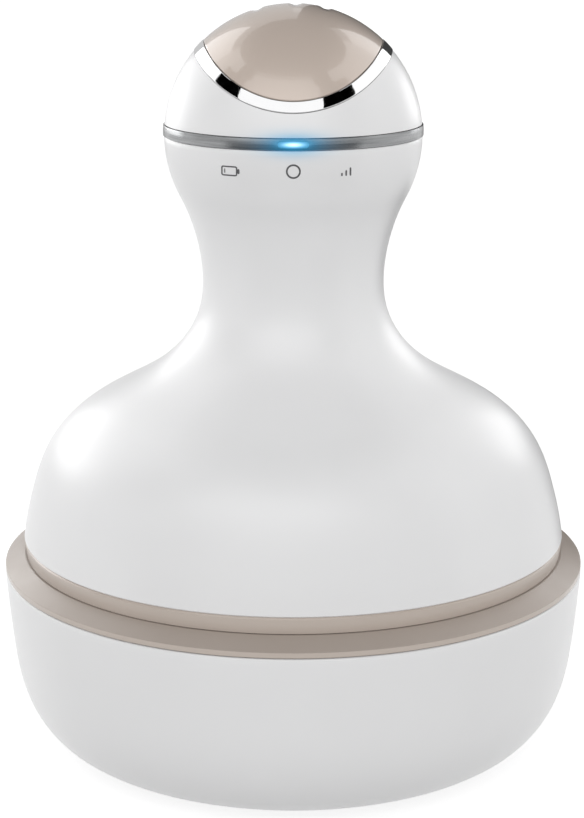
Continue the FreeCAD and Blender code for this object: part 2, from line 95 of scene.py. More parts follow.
BALL = 23.7             # the ball's radius in millimetres
BALL_R = BALL * MM
BALL_Z = high_z("button_cap") - BALL_R
BAND_TOP = low_z("body_shell")
BOWL_TOP = high_z("cup_bowl")
STRIP_Z = (low_z("light_strip"), high_z("light_strip"))
HINGE = Vector(record_joint("port_flap_hinge")["pos_m"])      # of the port's cover


# ---- mesh helpers ------------------------------------------------------------------------------
def shade(mesh, angle):
    """Smooth faces, with the edges beyond an angle in degrees kept sharp."""
    mesh.polygons.foreach_set("use_smooth", [True] * len(mesh.polygons))
    mesh.set_sharp_from_angle(angle=math.radians(angle))


def from_bmesh(name, bm, angle=35.0):
    """Object with the faces of a bmesh, turned outwards."""
    bmesh.ops.recalc_face_normals(bm, faces=bm.faces)
    mesh = bpy.data.meshes.new(name)
    bm.to_mesh(mesh)
    bm.free()
    shade(mesh, angle)
    piece = bpy.data.objects.new(name, mesh)
    bpy.context.scene.collection.objects.link(piece)
    return piece


def bridge(bm, here, following):
    """Faces between two closed rings with the same number of points."""
    count = len(here)
    for k in range(count):
        n = (k + 1) % count
        bm.faces.new((here[k], here[n], following[n], following[k]))


def metres(points):
    """Outline in metres from one in millimetres."""
    return [(x * MM, z * MM) for x, z in points]


def corner_arc(before, corner, after, r, steps=5):
    """Points of the arc that rounds one corner of an outline."""
    a = Vector(before) - Vector(corner)
    b = Vector(after) - Vector(corner)
    half = a.angle(b) / 2.0
    reach = min(r / math.tan(half), 0.45 * a.length, 0.45 * b.length)
    r = reach * math.tan(half)
    a.normalize()
    b.normalize()
    centre = Vector(corner) + (a + b).normalized() * (r / math.sin(half))
    start = Vector(corner) + a * reach - centre
    end = Vector(corner) + b * reach - centre
    return [tuple(centre + start.slerp(end, i / steps) * r) for i in range(steps + 1)]


def rounded(points, r):
    """Closed outline in metres, with rounded corners, from (r, z) points in millimetres.

    A point is (r, z), or (r, z, radius) for a corner of its own.
    """
    count = len(points)
    outline = []
    for i, point in enumerate(points):
        corner_r = point[2] if len(point) > 2 else r
        here = point[:2]
        if corner_r == 0.0 or here[0] == 0.0:
            outline.append(here)
            continue
        before = points[i - 1][:2]
        after = points[(i + 1) % count][:2]
        outline += corner_arc(before, here, after, corner_r)
    return metres(outline)


def spline(points, start, end, steps):
    """Smooth curve through (r, z) points with given end directions, as steps points a span."""
    place = np.array(points, float)
    gaps = np.hypot(*np.diff(place, axis=0).T)
    n = len(place)
    system = np.zeros((n, n))
    right = np.zeros((n, 2))
    system[0, 0] = system[-1, -1] = 1.0
    right[0] = np.array(start) / np.hypot(*start)
    right[-1] = np.array(end) / np.hypot(*end)
    for i in range(1, n - 1):
        a, b = gaps[i - 1], gaps[i]
        system[i, i - 1:i + 2] = (b, 2.0 * (a + b), a)
        right[i] = 3.0 * (b / a * (place[i] - place[i - 1]) + a / b * (place[i + 1] - place[i]))
    slopes = np.linalg.solve(system, right)
    curve = []
    for i in range(n - 1):
        for k in range(steps):
            t = k / steps
            rise = 3 * t ** 2 - 2 * t ** 3
            leave = t ** 3 - 2 * t ** 2 + t
            arrive = t ** 3 - t ** 2
            curve.append((1.0 - rise) * place[i] + rise * place[i + 1]
                         + gaps[i] * (leave * slopes[i] + arrive * slopes[i + 1]))
    curve.append(place[-1])
    return [tuple(p) for p in curve]


def arc(centre, r, start, end, steps):
    """Points on a circle in the (r, z) plane between two angles in degrees."""
    points = []
    for i in range(steps + 1):
        a = math.radians(start + (end - start) * i / steps)
        points.append((centre[0] + r * math.cos(a), centre[1] + r * math.sin(a)))
    return points


def inset(points, depth):
    """Outline at a constant depth to the left of a run of (r, z) points."""
    place = np.array(points, float)
    along = np.gradient(place, axis=0)
    along /= np.hypot(along[:, 0], along[:, 1])[:, None]
    inner = place + depth * np.stack([-along[:, 1], along[:, 0]], axis=1)
    return [tuple(p) for p in inner]


def lathe(name, outline, turns=TURNS, angle=35.0):
    """Closed solid turned about Z from a closed outline of (r, z) points in metres."""
    bm = bmesh.new()
    rings = []
    for r, z in outline:
        if r < 1e-7:
            rings.append([bm.verts.new((0.0, 0.0, z))])
            continue
        ring = []
        for k in range(turns):
            a = 2.0 * math.pi * k / turns
            ring.append(bm.verts.new((r * math.cos(a), r * math.sin(a), z)))
        rings.append(ring)
    for i, ring in enumerate(rings):
        following = rings[(i + 1) % len(rings)]
        if len(ring) == len(following) == 1:
            continue
        if len(ring) == len(following):
            bridge(bm, ring, following)
            continue
        pole, edge = (ring[0], following) if len(ring) == 1 else (following[0], ring)
        for k in range(turns):
            bm.faces.new((pole, edge[k], edge[(k + 1) % turns]))
    return from_bmesh(name, bm, angle)


def apply_modifiers(piece, angle=35.0):
    """Bakes the modifiers of a piece into its mesh."""
    graph = bpy.context.evaluated_depsgraph_get()
    mesh = bpy.data.meshes.new_from_object(piece.evaluated_get(graph))
    piece.modifiers.clear()
    piece.data = mesh
    shade(mesh, angle)


def combine(piece, other, operation):
    """Boolean of two closed meshes; the second one is deleted."""
    modifier = piece.modifiers.new("combine", "BOOLEAN")
    modifier.operation = operation
    modifier.solver = "EXACT"
    modifier.object = other
    apply_modifiers(piece)
    bpy.data.objects.remove(other)


def cut_away(piece, *cutters):
    """Takes closed meshes away from a piece."""
    for cutter in cutters:
        combine(piece, cutter, "DIFFERENCE")


def merge(piece, *others):
    """Joins closed meshes to a piece."""
    for other in others:
        combine(piece, other, "UNION")


def soften(piece, width):
    """Rounds the sharp edges of a piece."""
    modifier = piece.modifiers.new("bevel", "BEVEL")
    modifier.width = width
    modifier.segments = 3
    modifier.limit_method = "ANGLE"
    modifier.angle_limit = math.radians(40.0)
    apply_modifiers(piece)


def bevelled_prism(name, plan, near, far, edge):
    """Prism of a convex (x, z) outline, between two depths towards -Y, with rounded end edges."""
    bm = bmesh.new()
    centre = Vector((sum(p[0] for p in plan) / len(plan), sum(p[1] for p in plan) / len(plan)))
    levels = []
    for i in range(4):
        a = math.pi / 2.0 * i / 3.0
        levels.append((near + edge * (1.0 - math.sin(a)), edge * (1.0 - math.cos(a))))
    levels.reverse()
    levels += [(far + near - depth, shrink) for depth, shrink in reversed(levels)]
    rings = []
    for depth, shrink in levels:
        ring = []
        for p in plan:
            away = Vector(p) - centre
            x, z = centre + away * (1.0 - shrink / away.length)
            ring.append(bm.verts.new((x, -depth, z)))
        rings.append(ring)
    for here, following in zip(rings, rings[1:]):
        bridge(bm, here, following)
    bm.faces.new(rings[0])
    bm.faces.new(rings[-1])
    return from_bmesh(name, bm)


# ---- materials ---------------------------------------------------------------------------------
GLOW_BLUE = (0.02, 0.42, 0.85)
GLOW_WHITE = (0.72, 0.95, 1.0)
# The halo and its bright middle are painted: the lamp's light laid on the pieces round its window.
HALO_HALF = (5.3, 1.8)      # half sizes of the lamp's blue halo and of its bright middle
CORE_HALF = (2.0, 0.45)


def add_noise(tree, coordinates, scale, detail, low, high):
    """Noise from object coordinates, brought between two values."""
    noise = tree.nodes.new("ShaderNodeTexNoise")
    noise.inputs["Scale"].default_value = scale
    noise.inputs["Detail"].default_value = detail
    tree.links.new(coordinates, noise.inputs["Vector"])
    spread = tree.nodes.new("ShaderNodeMapRange")
    spread.inputs["From Min"].default_value = 0.3
    spread.inputs["From Max"].default_value = 0.7
    spread.inputs["To Min"].default_value = low
    spread.inputs["To Max"].default_value = high
    tree.links.new(noise.outputs["Fac"], spread.inputs["Value"])
    return spread.outputs["Result"]


def stretched(tree, coordinates, scale):
    """Object coordinates scaled by a different amount along each axis."""
    mapping = tree.nodes.new("ShaderNodeMapping")
    mapping.inputs["Scale"].default_value = scale
    tree.links.new(coordinates, mapping.inputs["Vector"])
    return mapping.outputs["Vector"]


def mixed(tree, factor, first, second):
    """Mix of two colours, each a value or a socket."""
    mix = tree.nodes.new("ShaderNodeMix")
    mix.data_type = "RGBA"
    tree.links.new(factor, mix.inputs["Factor"])
    for name, value in (("A", first), ("B", second)):
        if isinstance(value, tuple):
            mix.inputs[name].default_value = (*value, 1.0)
        else:
            tree.links.new(value, mix.inputs[name])
    return mix.outputs["Result"]


def material(name, colour, second, roughness, spread=0.05, tone_scale=60.0, grain_scale=2500.0,
             grain=0.02, stretch=(1, 1, 1), **sockets):
    """Moulded or metal finish: two close tones, uneven gloss and a fine surface grain."""
    made = bpy.data.materials.new(name)
    made.use_nodes = True
    tree = made.node_tree
    shader = tree.nodes["Principled BSDF"]
    coordinates = tree.nodes.new("ShaderNodeTexCoord").outputs["Object"]
    run = stretched(tree, coordinates, stretch)
    tone = add_noise(tree, run, tone_scale, 4.0, 0.0, 1.0)
    tree.links.new(mixed(tree, tone, colour, second), shader.inputs["Base Color"])
    gloss = add_noise(tree, run, tone_scale * 3.0, 3.0, roughness - spread, roughness + spread)
    tree.links.new(gloss, shader.inputs["Roughness"])
    bump = tree.nodes.new("ShaderNodeBump")
    bump.inputs["Strength"].default_value = grain
    bump.inputs["Distance"].default_value = 0.0002
    tree.links.new(add_noise(tree, run, grain_scale, 2.0, 0.0, 1.0), bump.inputs["Height"])
    tree.links.new(bump.outputs["Normal"], shader.inputs["Normal"])
    for socket, value in sockets.items():
        shader.inputs[socket.replace("_", " ")].default_value = value
    return made


def calculate(tree, operation, *values):
    """Math node on numbers or sockets."""
    node = tree.nodes.new("ShaderNodeMath")
    node.operation = operation
    for socket, value in zip(node.inputs, values):
        if isinstance(value, float):
            socket.default_value = value
        else:
            tree.links.new(value, socket)
    return node.outputs["Value"]


def painted_glow_spot(tree, half_x, half_z):
    """Mask of the painted glow: soft ellipse round the lamp window, 1 in its middle, half sizes in
    millimetres.
    """
    coordinates = tree.nodes.new("ShaderNodeTexCoord").outputs["Object"]
    split = tree.nodes.new("ShaderNodeSeparateXYZ")
    tree.links.new(coordinates, split.inputs["Vector"])
    window_z = sum(STRIP_Z) / 2.0
    across = calculate(tree, "DIVIDE", split.outputs["X"], half_x * MM)
    above = calculate(tree, "SUBTRACT", split.outputs["Z"], window_z)
    height = calculate(tree, "DIVIDE", above, half_z * MM)
    distance = calculate(tree, "ADD", calculate(tree, "MULTIPLY", across, across),
                         calculate(tree, "MULTIPLY", height, height))
    spot = calculate(tree, "POWER", math.e, calculate(tree, "MULTIPLY", distance, -1.0))
    front = calculate(tree, "LESS_THAN", split.outputs["Y"], 0.0)
    return calculate(tree, "MULTIPLY", spot, front)


def paint_lamp_glow(made, glow_colour, halo_light, core_light):
    """Paints the lamp's light round its window onto a material: tinted and made to shine, blue with a
    white middle.
    """
    tree = made.node_tree
    shader = tree.nodes["Principled BSDF"]
    halo = painted_glow_spot(tree, *HALO_HALF)
    core = painted_glow_spot(tree, *CORE_HALF)
    base = shader.inputs["Base Color"].links[0].from_socket
    tree.links.new(mixed(tree, halo, base, glow_colour), shader.inputs["Base Color"])
    tree.links.new(mixed(tree, core, GLOW_BLUE, GLOW_WHITE), shader.inputs["Emission Color"])
    light = calculate(tree, "MULTIPLY_ADD", core, core_light,
                      calculate(tree, "MULTIPLY", halo, halo_light))
    tree.links.new(light, shader.inputs["Emission Strength"])


def make_materials():
    """One material for each slot of the record, and a few for details."""
    made = {}
    for name in ("shell_white", "shell_painted_glow"):
        made[name] = material(name, (0.80, 0.80, 0.805), (0.785, 0.785, 0.79), 0.36, 0.03, grain=0.012,
                              Coat_Weight=0.4, Coat_Roughness=0.36)
    # The case's white gets the lamp's light painted round the window, in blue colour and glow.
    paint_lamp_glow(made["shell_painted_glow"], (0.08, 0.44, 0.70), 0.13, 0.0)
    made["band_taupe"] = material("band_taupe", (0.39, 0.335, 0.295), (0.375, 0.32, 0.28), 0.42, 0.04,
                                  grain=0.02, Coat_Weight=0.15, Coat_Roughness=0.3)
    # Lighter, glossier copy of the taupe for the band and the rim's lip; its extra lightness is painted
    # light.
    made["taupe_painted_light"] = material("taupe_painted_light", (0.51, 0.44, 0.387), (0.495, 0.427, 0.373), 0.38, 0.04,
                                 grain=0.02, Coat_Weight=0.6, Coat_Roughness=0.2)
    made["cap_champagne"] = pearl("cap_champagne")
    made["trim_chrome"] = material("trim_chrome", (0.93, 0.93, 0.93), (0.90, 0.90, 0.91), 0.05, 0.02,
                                   tone_scale=200.0, grain=0.004, Metallic=1.0)
    # The strip's two tones differ widely: streaks along it that paint the patchy reflections of the metal,
    # with its brushed grain.
    made["strip_grey"] = material("strip_grey", (0.215, 0.22, 0.225), (0.37, 0.375, 0.38), 0.2, 0.04,
                                  grain=0.03, stretch=(1, 1, 30), Metallic=0.85)
    made["window"] = material("window", (0.10, 0.16, 0.20), (0.11, 0.18, 0.22), 0.34, 0.04)
    # The strip gets the lamp's light painted round the window; on the window the glow is the lamp shining
    # through.
    for name in ("strip_grey", "window"):
        paint_lamp_glow(made[name], (0.01, 0.23, 0.40), 0.27, 1.1)
    made["rubber_grey"] = material("rubber_grey", (0.16, 0.15, 0.145), (0.13, 0.125, 0.12), 0.75, 0.06,
                                   grain=0.12)
    made["silicone_white"] = material("silicone_white", (0.78, 0.78, 0.775), (0.76, 0.76, 0.755), 0.5,
                                      0.05, grain=0.05, Subsurface_Weight=0.1, Subsurface_Scale=0.5 * MM)
    made["silicone_taupe"] = material("silicone_taupe", (0.46, 0.39, 0.335), (0.42, 0.355, 0.305), 0.5,
                                      0.06, grain=0.05, Subsurface_Weight=0.15,
                                      Subsurface_Scale=0.8 * MM, Sheen_Weight=0.15)
    made["plastic_pale"] = material("plastic_pale", (0.66, 0.66, 0.655), (0.62, 0.62, 0.615), 0.48, 0.05,
                                    grain=0.08)
    made["plastic_grey"] = material("plastic_grey", (0.17, 0.175, 0.18), (0.15, 0.155, 0.16), 0.5, 0.06,
                                    grain=0.08)
    made["gear_plastic"] = material("gear_plastic", (0.80, 0.77, 0.68), (0.76, 0.73, 0.64), 0.4, 0.05)
    made["steel"] = material("steel", (0.60, 0.60, 0.61), (0.52, 0.52, 0.53), 0.3, 0.08,
                             stretch=(1, 1, 20), Metallic=1.0)
    made["brass"] = material("brass", (0.71, 0.53, 0.25), (0.62, 0.45, 0.2), 0.3, 0.08, Metallic=1.0)
    made["motor_steel"] = material("motor_steel", (0.55, 0.55, 0.57), (0.48, 0.48, 0.5), 0.36, 0.08,
                                   stretch=(1, 1, 14), Metallic=1.0)
    made["black_plastic"] = material("black_plastic", (0.02, 0.02, 0.02), (0.03, 0.03, 0.03), 0.45, 0.08)
    made["magnet"] = material("magnet", (0.06, 0.06, 0.065), (0.09, 0.09, 0.095), 0.6, 0.1)
    made["winding"] = material("winding", (0.50, 0.20, 0.07), (0.62, 0.28, 0.10), 0.35, 0.1,
                               stretch=(1, 1, 30), Metallic=0.8)
    made["cell_wrap"] = material("cell_wrap", (0.04, 0.16, 0.36), (0.05, 0.19, 0.42), 0.25, 0.05,
                                 Coat_Weight=0.6)
    made["board_green"] = material("board_green", (0.01, 0.12, 0.05), (0.015, 0.16, 0.07), 0.3, 0.08,
                                   tone_scale=400.0)
    made["lamp"] = material("lamp", (0.8, 0.85, 0.9), (0.7, 0.8, 0.9), 0.2, 0.05)
    made["print_grey"] = material("print_grey", (0.075, 0.075, 0.08), (0.10, 0.10, 0.105), 0.5, 0.05,
                                  tone_scale=900.0)
    return made


def pearl(name):
    """Champagne lacquer: fine flakes under a clear coat, with a painted sheen, lighter where the surface
    turns away.
    """
    pale = (0.62, 0.525, 0.46)
    made = material(name, pale, (0.60, 0.51, 0.445), 0.34, 0.01, grain_scale=6000.0,
                    grain=0.006, Metallic=0.15, Coat_Weight=1.0, Coat_Roughness=0.05, Coat_IOR=1.58)
    tree = made.node_tree
    shader = tree.nodes["Principled BSDF"]
    base = shader.inputs["Base Color"].links[0].from_socket
    # Painted sheen: the colour turns to the pale tone where the surface faces away.
    facing = tree.nodes.new("ShaderNodeLayerWeight")
    facing.inputs["Blend"].default_value = 0.35
    painted_edge_sheen = mixed(tree, facing.outputs["Facing"], base, pale)
    tree.links.new(painted_edge_sheen, shader.inputs["Base Color"])
    return made


MATERIALS = make_materials()


def place(piece, body, slot, *nodes, finish=None):
    """Gives a piece its finish and body, and hides the frame nodes that it stands for."""
    piece.data.materials.clear()
    piece.data.materials.append(MATERIALS[finish or slot])
    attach(piece, body)
    if nodes:
        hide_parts(*nodes)


# ---- cup ---------------------------------------------------------------------------------------
def cup():
    """Bowl with a rolled lip, and the rim ring that lies on it."""
    foot_z = 0.4
    top = BOWL_TOP / MM
    outside = spline([(37.5, foot_z), (46.4, 3.2), (51.3, 9.6), (54.0, 22.0), (55.0, top - 0.5)],
                     (1.0, 0.0), (0.05, 1.0), 10)
    floor_z = high_z("cup_floor") / MM
    step_z = 1.5            # step where the floor disc sits in the wall
    inside = spline([(36.5, floor_z), (44.8, 5.0), (49.2, 10.4), (51.8, 22.0), (52.8, top - 0.5)],
                    (1.0, 0.0), (0.05, 1.0), 10)
    lip = arc((54.5, top - 0.5), 0.5, 0.0, 90.0, 5)[1:] + arc((53.3, top - 0.5), 0.5, 90.0, 180.0, 5)[:-1]
    outline = outside + lip + inside[::-1] + [(36.5, step_z), (37.5, step_z)]
    bowl = lathe("bowl", metres(outline))
    place(bowl, "cup", "shell_white", "cup_bowl")
    rim = rounded([(54.9, 34.62, 0.05), (55.0, 34.75, 0.05), (55.0, 35.65, 0.12), (51.3, 37.42, 0.12),
                   (50.6, 37.42, 0.2), (50.6, 33.9, 0.1), (48.4, 33.9, 0.3), (48.4, 32.4, 0.3),
                   (52.6, 32.4, 0.2), (52.6, 34.62, 0.05)], 0.1)
    ring = lathe("rim_ring", rim, angle=30.0)
    place(ring, "cup", "band_taupe", "cup_rim_ring")
    # The lip's upright faces take the lighter copy of the taupe: painted light.
    ring.data.materials.append(MATERIALS["taupe_painted_light"])
    for face in ring.data.polygons:
        lip_painted_light = face.center.xy.length > 54.5 * MM and abs(face.normal.z) < 0.3
        face.material_index = int(lip_painted_light)


# ---- handset case ------------------------------------------------------------------------------
WALL = 2.2              # thickness of the case
PORT_Z = 106.5          # height of the middle of the charging port
FLAP_HALF = 6.0         # half the width of the port's cover
FLAP_TOP = 109.6        # height of the cover's top edge


def dome_curve():
    """Outside of the dome, the waist and the lower half of the ball."""
    join_drop = 11.0        # of the join with the ball's circle, below the ball's middle
    ball_z = BALL_Z / MM
    join_r = math.sqrt(BALL ** 2 - join_drop ** 2)
    points = [(51.3, BAND_TOP / MM), (49.6, 49.0), (46.1, 58.0), (39.15, 65.0), (28.45, 71.0),
              (21.1, 77.0), (17.45, 84.0), (16.9, 89.5), (17.75, 96.0), (join_r, ball_z - join_drop)]
    side = spline(points, (-0.1, 1.0), (join_drop, join_r), 14)
    start = -math.degrees(math.asin(join_drop / BALL))
    return side + arc((0.0, ball_z), BALL, start, -0.6, 14)[1:]


def stadium_plan(half_x, half_z, steps=12):
    """Outline of a rounded slot, wider than it is high."""
    flat = half_x - half_z
    points = []
    for side, first in ((1, -90.0), (-1, 90.0)):
        points += [(side * flat + x, z) for x, z in arc((0.0, 0.0), half_z, first, first + 180.0, steps)]
    return points


def slot_solid(half_x, half_z, y, centre_z):
    """Solid with a stadium section along Y, between two depths."""
    plan = metres(stadium_plan(half_x, half_z))
    bm = bmesh.new()
    front, back = [[bm.verts.new((x, depth * MM, z + centre_z * MM)) for x, z in plan] for depth in y]
    bridge(bm, front, back)
    bm.faces.new(front)
    bm.faces.new(back)
    return from_bmesh("cutter", bm)


def case_shell():
    """Dome, waist and lower half of the ball, as one hollow shell."""
    outside = dome_curve()
    inside = inset(outside, WALL)
    edge = 0.25             # chamfer at the foot
    foot_z, top_z = BAND_TOP / MM, BALL_Z / MM
    outline = [(inside[0][0], foot_z), (outside[0][0] - edge, foot_z), (outside[0][0], foot_z + edge)]
    outline += outside[1:]
    outline += [(outside[-1][0] - 0.1, top_z), (inside[-1][0], top_z)] + inside[::-1][1:-1]
    shell = lathe("case_shell", metres(outline))
    place(shell, "handset", "shell_white", "body_shell", finish="shell_painted_glow")
    return shell


def body_radius(z):
    """Outside radius of the case at a height, in millimetres."""
    curve = dome_curve()
    return float(np.interp(z, [p[1] for p in curve], [p[0] for p in curve]))


def flap_solid(name, half_x, low, high, corner, shallow, deep):
    """Curved panel that follows the back of the case between two depths, in millimetres."""
    columns, rows = 16, 20
    least = 0.01            # keeps the square root real at the top edge, where it nears zero
    bm = bmesh.new()
    layers = []
    for depth in (shallow, deep):
        layer = []
        for j in range(rows + 1):
            v = math.sin(math.pi / 2.0 * j / rows)
            z = low + (high - low) * v
            over = max(z - (high - corner), 0.0)
            half = half_x - corner + math.sqrt(max(corner ** 2 - over ** 2, least))
            line = []
            for i in range(columns + 1):
                x = half * (2.0 * i / columns - 1.0)
                y = math.sqrt(body_radius(z) ** 2 - x ** 2) - depth
                line.append(bm.verts.new((x * MM, y * MM, z * MM)))
            layer.append(line)
        layers.append(layer)
    for layer in layers:
        for j in range(rows):
            for i in range(columns):
                bm.faces.new((layer[j][i], layer[j][i + 1], layer[j + 1][i + 1], layer[j + 1][i]))
    edge = ([(0, i) for i in range(columns)] + [(j, columns) for j in range(rows)]
            + [(rows, columns - i) for i in range(columns)] + [(rows - j, 0) for j in range(rows)])
    front, back = [[layer[j][i] for j, i in edge] for layer in layers]
    bridge(bm, front, back)
    return from_bmesh(name, bm)


def hinge_rod(name, r, half, bevel):
    """Round bar along the hinge of the port's cover, with rounded ends."""
    rod = lathe(name, rounded([(0.0, -half), (r, -half), (r, half), (0.0, half)], bevel), 48)
    rod.data.transform(Matrix.Translation(HINGE) @ Matrix.Rotation(math.pi / 2.0, 4, "Y"))
    return rod


def port(shell):
    """Recess for the charging port in the back of the case, and its hinged cover."""
    hinge_z = HINGE.z / MM
    gap = 0.15              # round the cover
    recess_low, recess_depth = hinge_z - 1.5, 1.5
    recess = flap_solid("cutter", FLAP_HALF + gap, recess_low, FLAP_TOP + gap, 2.0 + gap,
                        -2.0, recess_depth)
    groove = hinge_rod("cutter", 1.1, FLAP_HALF + gap, 0.05)
    cut_away(shell, recess, groove, slot_solid(4.75, 1.9, (14.0, 30.0), PORT_Z))
    cover = flap_solid("port_flap", FLAP_HALF, hinge_z + 0.3, FLAP_TOP, 2.0, 0.0, 1.3)
    soften(cover, 0.25 * MM)
    stem = slot_solid(3.9, 1.0, (19.4, 20.9), PORT_Z)
    soften(stem, 0.2 * MM)
    merge(cover, hinge_rod("barrel", 0.9, FLAP_HALF, 0.2), stem)
    place(cover, "port_flap", "silicone_white", "port_cover")


# ---- band, light strip and lamp window -----------------------------------------------------------
def band():
    """Taupe band under the dome, with the step that the dome stands on."""
    outline = rounded([(50.2, 34.2, 0.4), (50.2, 37.48, 0.05), (50.95, 37.48, 0.12), (51.25, 40.15, 0.05),
                       (50.95, 40.5, 0.05), (48.5, 40.5, 0.05), (48.5, 43.4, 0.2), (47.0, 43.4, 0.2),
                       (47.0, 41.2, 0.1), (42.9, 41.2, 0.2), (42.9, 37.9, 0.2), (47.2, 37.9, 0.05),
                       (47.2, 34.2, 0.4)], 0.1)
    # The band takes the lighter copy of the taupe: painted light.
    place(lathe("band", outline, angle=30.0), "handset", "band_taupe", "base_band", finish="taupe_painted_light")


def light_strip():
    """Metal strip round the ball with a dark gap above and below, and the lamp's window in it."""
    low, high = STRIP_Z[0] / MM, STRIP_Z[1] / MM
    middle = (low + high) / 2.0
    inner, outer = 20.75, BALL + 0.2
    gap = 0.12
    back = outer - 0.9      # bottom of the gaps
    outline = rounded([(inner, low, 0.1), (back, low, 0.0), (back, low + gap, 0.0),
                       (outer - 0.02, low + gap, 0.1), (outer, middle, 0.3),
                       (outer - 0.08, high - gap, 0.1), (back, high - gap, 0.0), (back, high, 0.0),
                       (inner, high, 0.1)], 0.1)
    strip = lathe("strip", outline)
    half_x, half_z = 2.7, 0.57
    play = 0.01
    cut_away(strip, slot_solid(half_x + play, half_z + play, (-30.0, -15.0), middle))
    place(strip, "handset", "strip_grey", "light_strip")
    plan = metres((x, z + middle) for x, z in stadium_plan(half_x, half_z))
    window = bevelled_prism("lamp_window", plan, 16.9 * MM, (outer - 0.03) * MM, 0.12 * MM)
    place(window, "handset", "window", "light_window")


# ---- upper ball, chrome trim and button ----------------------------------------------------------
CAP_CUT = (19.6, 28.0)      # the button's edge: an arc's radius, and its centre over the ball's
TRIM_CUT = (22.6, 29.0)     # the same for the outside of the trim


def cut_latitude(azimuth, cut):
    """Latitude, in radians, where an arc running front to back meets the ball."""
    r, centre = cut
    low, high = 0.0, math.pi / 2.0
    for _ in range(40):
        middle = (low + high) / 2.0
        x = BALL * math.cos(middle) * math.cos(azimuth)
        z = BALL * math.sin(middle)
        inside = x * x + (z - centre) ** 2 < r * r
        low, high = (low, middle) if inside else (middle, high)
    return (low + high) / 2.0


def on_ball(azimuth, latitude, lift=0.0):
    """Point in metres, at a lift in millimetres over the ball's surface."""
    r = (BALL + lift) * MM
    flat = r * math.cos(latitude)
    return Vector((flat * math.cos(azimuth), flat * math.sin(azimuth), BALL_Z + r * math.sin(latitude)))


def swept_ring(name, section, turns=256):
    """Closed ring from a section function that gives a closed run of points for an azimuth."""
    bm = bmesh.new()
    rings = [[bm.verts.new(p) for p in section(2.0 * math.pi * k / turns)] for k in range(turns)]
    for here, following in zip(rings, rings[1:] + rings[:1]):
        bridge(bm, here, following)
    return from_bmesh(name, bm, 40.0)


def ball_top():
    """Upper shell of the ball, from the strip to the trim."""
    foot = math.asin((STRIP_Z[1] - BALL_Z) / BALL_R)
    rows = 24
    gap, edge = 0.04, 0.05

    def section(azimuth):
        """Wall at an azimuth, up its outside and down its inside."""
        top = cut_latitude(azimuth, TRIM_CUT) - gap / BALL
        latitudes = [foot + (top - foot) * i / rows for i in range(rows + 1)]
        outer = [on_ball(azimuth, latitude) for latitude in latitudes]
        outer[-1] = on_ball(azimuth, top, -edge)
        inner = [on_ball(azimuth, latitude, -WALL) for latitude in reversed(latitudes)]
        outer[0].z = inner[-1].z = STRIP_Z[1]
        return outer + inner

    place(swept_ring("ball_top", section), "handset", "shell_white", "top_shell", finish="shell_painted_glow")


def trim():
    """Chrome band round the button, slightly crowned, in a thin dark seal: painted shade in its edge gaps.
    """
    outer_margin, inner_margin = 0.03, 0.012
    crown = [(0.0, -0.2), (0.0, 0.03), (0.01, 0.07), (0.03, 0.09), (0.08, 0.1), (0.3, 0.11), (0.5, 0.115),
             (0.7, 0.11), (0.92, 0.1), (0.97, 0.09), (0.99, 0.07), (1.0, 0.03), (1.0, -0.2)]
    width = 1.0 - outer_margin - inner_margin
    chrome = [(outer_margin + width * share, lift) for share, lift in crown]
    shade_seal_outline = [(0.0, -1.0), (0.0, -0.28), (0.02, -0.22), (0.98, -0.22), (1.0, -0.28), (1.0, -1.1)]

    def section(outline):
        """Section function for an outline of shares of the trim's width and lifts over the ball."""
        def run(azimuth):
            low = cut_latitude(azimuth, TRIM_CUT)
            high = cut_latitude(azimuth, CAP_CUT)
            return [on_ball(azimuth, low + (high - low) * share, lift) for share, lift in outline]
        return run

    place(swept_ring("trim", section(chrome)), "handset", "trim_chrome", "chrome_trim")
    # The dark seal lies at the bottom of the gaps beside the chrome and paints their shade.
    place(swept_ring("trim_seal_painted_shade", section(shade_seal_outline)), "handset", "rubber_grey")


